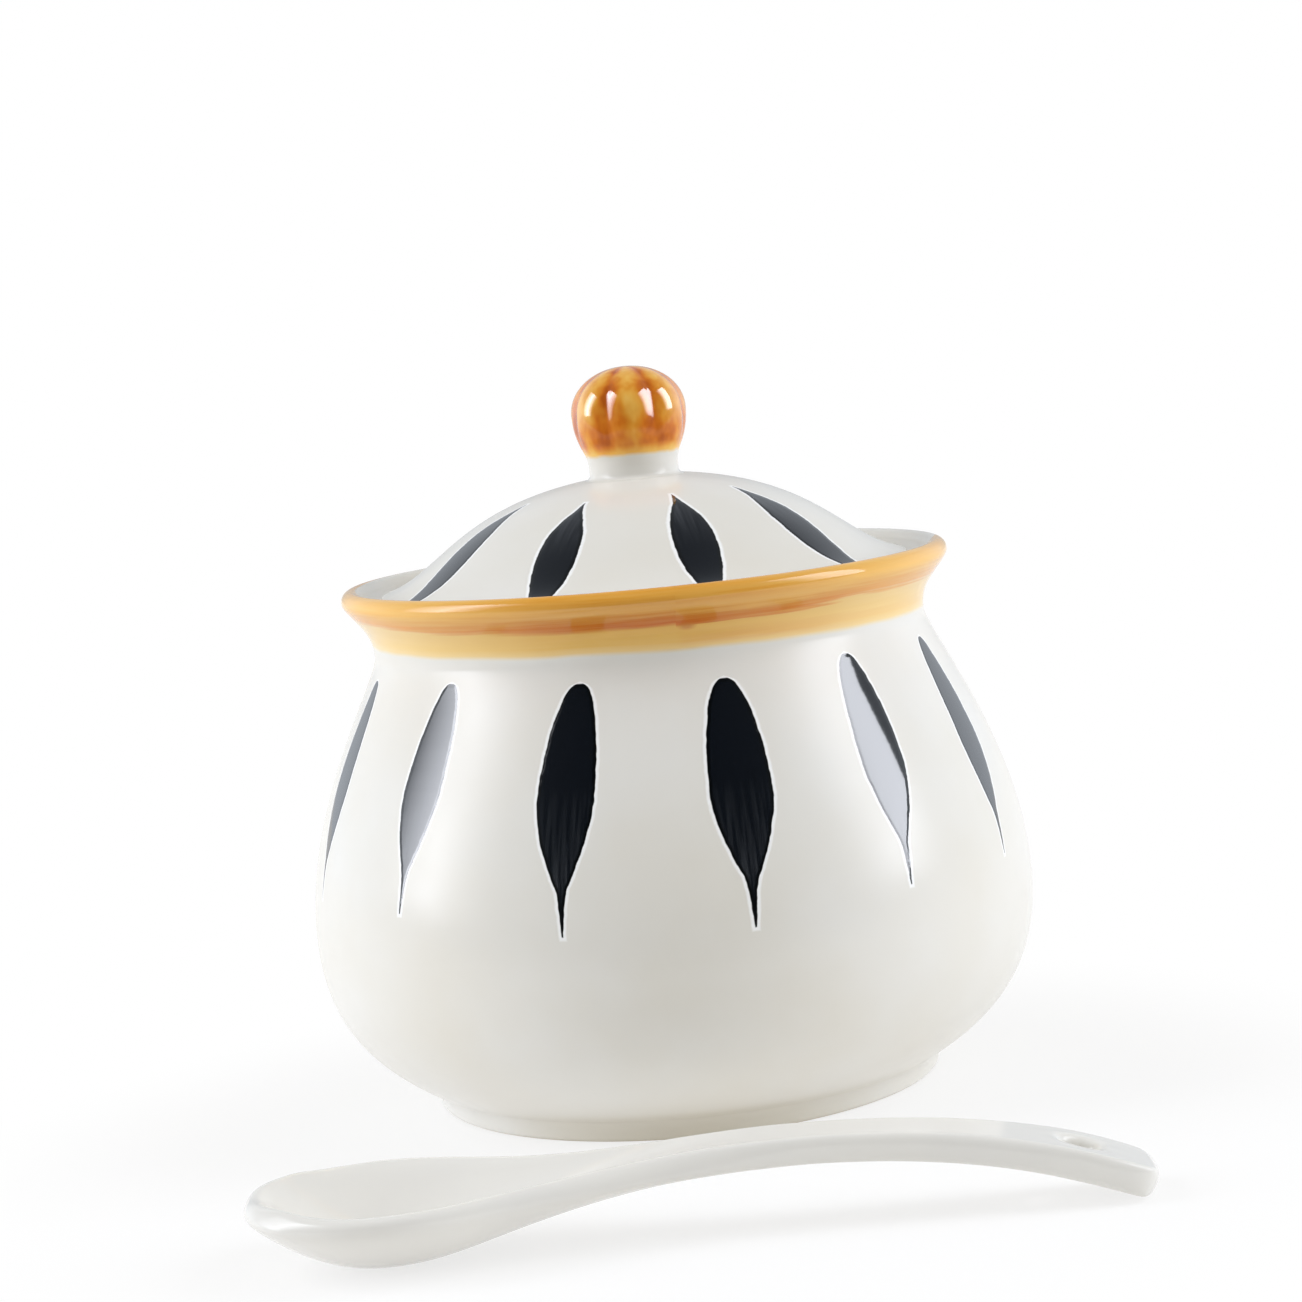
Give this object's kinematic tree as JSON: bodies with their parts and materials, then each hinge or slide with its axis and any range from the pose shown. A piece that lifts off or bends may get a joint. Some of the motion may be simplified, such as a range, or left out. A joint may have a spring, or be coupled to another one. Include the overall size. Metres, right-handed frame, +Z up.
{
  "type": "spice jar",
  "caption": "Squat round glazed ceramic jar with a flared amber lip, a domed lid with a ribbed knob, and a matching serving spoon beside it.",
  "frame": {"origin": "centre of the pot's flat base, on the table", "axes": "+Z up along the pot's axis, -Y towards the front where the spoon lies, with its handle towards +X"},
  "size_m": [0.1194, 0.1593, 0.112],
  "materials": {
    "ivory_glaze": "gloss",
    "amber_glaze": "gloss",
    "white_glaze": "gloss"
  },
  "bodies": {
    "jar": {"jar_body": "ivory_glaze"},
    "lid": {"lid": "ivory_glaze", "knob": "amber_glaze"},
    "spoon": {"spoon": "white_glaze"}
  },
  "joints": [
    {"name": "lid_lift", "type": "slide", "parent": "jar", "child": "lid", "axis": [0, 0, 1], "range_m": [0, 0.06]},
    {"name": "spoon_lift", "type": "slide", "parent": "jar", "child": "spoon", "axis": [0, 0, 1], "range_m": [0, 0.12]}
  ]
}
